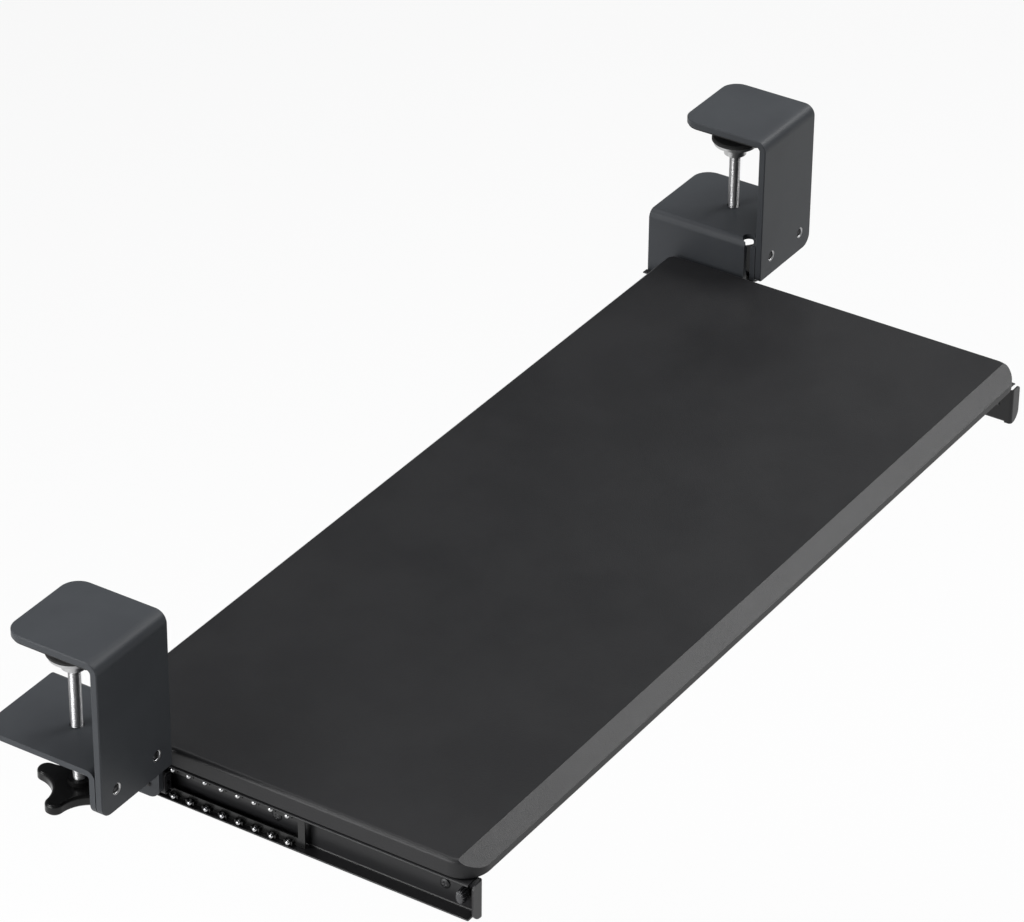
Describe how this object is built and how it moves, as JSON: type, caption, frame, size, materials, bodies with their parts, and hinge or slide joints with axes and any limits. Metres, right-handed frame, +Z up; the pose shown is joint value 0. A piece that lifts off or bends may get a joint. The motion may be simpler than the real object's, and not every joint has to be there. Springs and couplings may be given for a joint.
{
  "type": "clamp-on under-desk keyboard tray",
  "caption": "Pull-out keyboard tray on ball slides, held under a desk's front edge by bent-plate screw clamps with star knobs.",
  "frame": {"origin": "on the desk's top face, at the desk's front edge, midway between the two clamps", "axes": "+X to the sitter's right along the desk's edge, +Y away from the sitter under the desk, +Z up; the tray is stored pulled out"},
  "size_m": [0.837, 0.302, 0.1467],
  "materials": {
    "charcoal_powder_coat": "fine matt textured charcoal powder coat on bent steel",
    "black_rail": "smooth semi-gloss black coat on rolled steel",
    "black_film_board": "satin black plastic film wrapped over board",
    "black_rubber": "matt black rubber",
    "grey_soft_plastic": "soft translucent grey bumper",
    "black_moulded_plastic": "glossy black moulded plastic",
    "bright_steel": "polished bearing steel",
    "zinc_steel": "zinc plated steel",
    "black_screws": "black oxide screws"
  },
  "bodies": {
    "clamps": {"left_upper_clamp_plate": "charcoal_powder_coat", "left_jaw_pad": "black_rubber", "left_lower_bracket": "charcoal_powder_coat", "left_weld_nut": "charcoal_powder_coat", "left_fixed_slide_member": "black_rail", "right_upper_clamp_plate": "charcoal_powder_coat", "right_jaw_pad": "black_rubber", "right_lower_bracket": "charcoal_powder_coat", "right_weld_nut": "charcoal_powder_coat", "right_fixed_slide_member": "black_rail", "plate_join_screws": "black_screws", "member_screws": "black_screws"},
    "tray": {"tray_board": "black_film_board", "left_tray_channel": "black_rail", "left_channel_bumper": "grey_soft_plastic", "left_tray_angle": "black_rail", "right_tray_channel": "black_rail", "right_channel_bumper": "grey_soft_plastic", "right_tray_angle": "black_rail", "channel_screws": "black_screws", "board_screws": "black_screws"},
    "left_cage": {"left_ball_cage": "black_rail", "left_slide_balls": "bright_steel"},
    "right_cage": {"right_ball_cage": "black_rail", "right_slide_balls": "bright_steel"},
    "left_foot": {"left_foot_disc": "zinc_steel", "left_foot_pad": "black_rubber"},
    "right_foot": {"right_foot_disc": "zinc_steel", "right_foot_pad": "black_rubber"},
    "left_screw": {"left_clamp_screw": "zinc_steel", "left_star_knob": "black_moulded_plastic"},
    "right_screw": {"right_clamp_screw": "zinc_steel", "right_star_knob": "black_moulded_plastic"}
  },
  "joints": [
    {"name": "tray_slide", "type": "slide", "parent": "clamps", "child": "tray", "axis": [0, 1, 0], "range_m": [0, 0.207]},
    {"name": "left_cage_roll", "type": "slide", "parent": "clamps", "child": "left_cage", "axis": [0, 1, 0], "range_m": [0, 0.1035]},
    {"name": "right_cage_roll", "type": "slide", "parent": "clamps", "child": "right_cage", "axis": [0, 1, 0], "range_m": [0, 0.1035]},
    {"name": "left_foot_lift", "type": "slide", "parent": "clamps", "child": "left_foot", "axis": [0, 0, 1], "range_m": [-0.042, 0.015]},
    {"name": "right_foot_lift", "type": "slide", "parent": "clamps", "child": "right_foot", "axis": [0, 0, 1], "range_m": [-0.042, 0.015]},
    {"name": "left_screw_turn", "type": "hinge", "parent": "left_foot", "child": "left_screw", "pos_m": [-0.384, 0.037, -0.1], "axis": [0, 0, 1], "range_deg": [-12096, 4320]},
    {"name": "right_screw_turn", "type": "hinge", "parent": "right_foot", "child": "right_screw", "pos_m": [0.384, 0.037, -0.1], "axis": [0, 0, 1], "range_deg": [-12096, 4320]}
  ],
  "couplings": [
    {"joint": "left_cage_roll", "follows": "tray_slide", "ratio": 0.5},
    {"joint": "right_cage_roll", "follows": "tray_slide", "ratio": 0.5},
    {"joint": "left_foot_lift", "follows": "left_screw_turn", "m_per_rad": 0.00019894},
    {"joint": "right_foot_lift", "follows": "right_screw_turn", "m_per_rad": 0.00019894}
  ]
}
